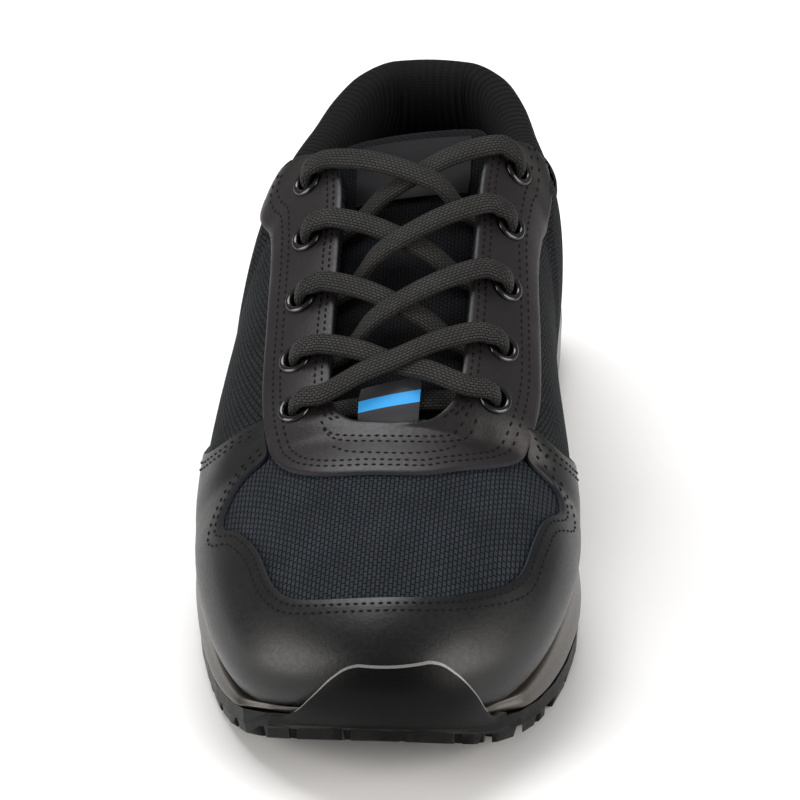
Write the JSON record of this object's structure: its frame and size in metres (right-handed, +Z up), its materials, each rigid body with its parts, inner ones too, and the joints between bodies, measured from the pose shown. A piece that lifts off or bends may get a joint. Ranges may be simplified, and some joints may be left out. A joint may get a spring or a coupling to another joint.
{
  "type": "work shoe",
  "caption": "Low lace-up work shoe with a leather toe cap and eyestay over a textile upper, padded collar and tongue, and a thick rubber sole with six-sided lugs.",
  "frame": {"origin": "middle of the footprint, on the floor under the sole", "axes": "+Y towards the heel, so the toe points to -Y; +X towards the inner side of the right foot; +Z up"},
  "size_m": [0.114, 0.3034, 0.1254],
  "materials": {
    "rubber": "moulded, satin, slightly scuffed",
    "foam": "moulded foam with a smooth satin skin",
    "textile": "fine open mesh over a darker backing",
    "leather": "smooth, fine grain, satin",
    "lining": "soft knitted lining",
    "enamel": "black enamel, glossy",
    "lace": "flat braid, matt",
    "label": "plain soft patch, matt"
  },
  "bodies": {
    "root": {"outsole": "rubber", "midsole": "foam", "insole": "lining", "upper": "textile", "eyestay": "leather", "toe_cap": "leather", "heel_counter": "leather", "collar_pad": "lining", "tongue": "textile", "tongue_label": "label", "throat_tag": "label", "eyelet_lateral_1": "enamel", "eyelet_lateral_2": "enamel", "eyelet_lateral_3": "enamel", "eyelet_lateral_4": "enamel", "eyelet_lateral_5": "enamel", "eyelet_medial_1": "enamel", "eyelet_medial_2": "enamel", "eyelet_medial_3": "enamel", "eyelet_medial_4": "enamel", "eyelet_medial_5": "enamel", "lace_crossing_1": "lace", "lace_crossing_2": "lace", "lace_crossing_3": "lace", "lace_crossing_4": "lace", "lace_bar": "lace"}
  },
  "joints": []
}
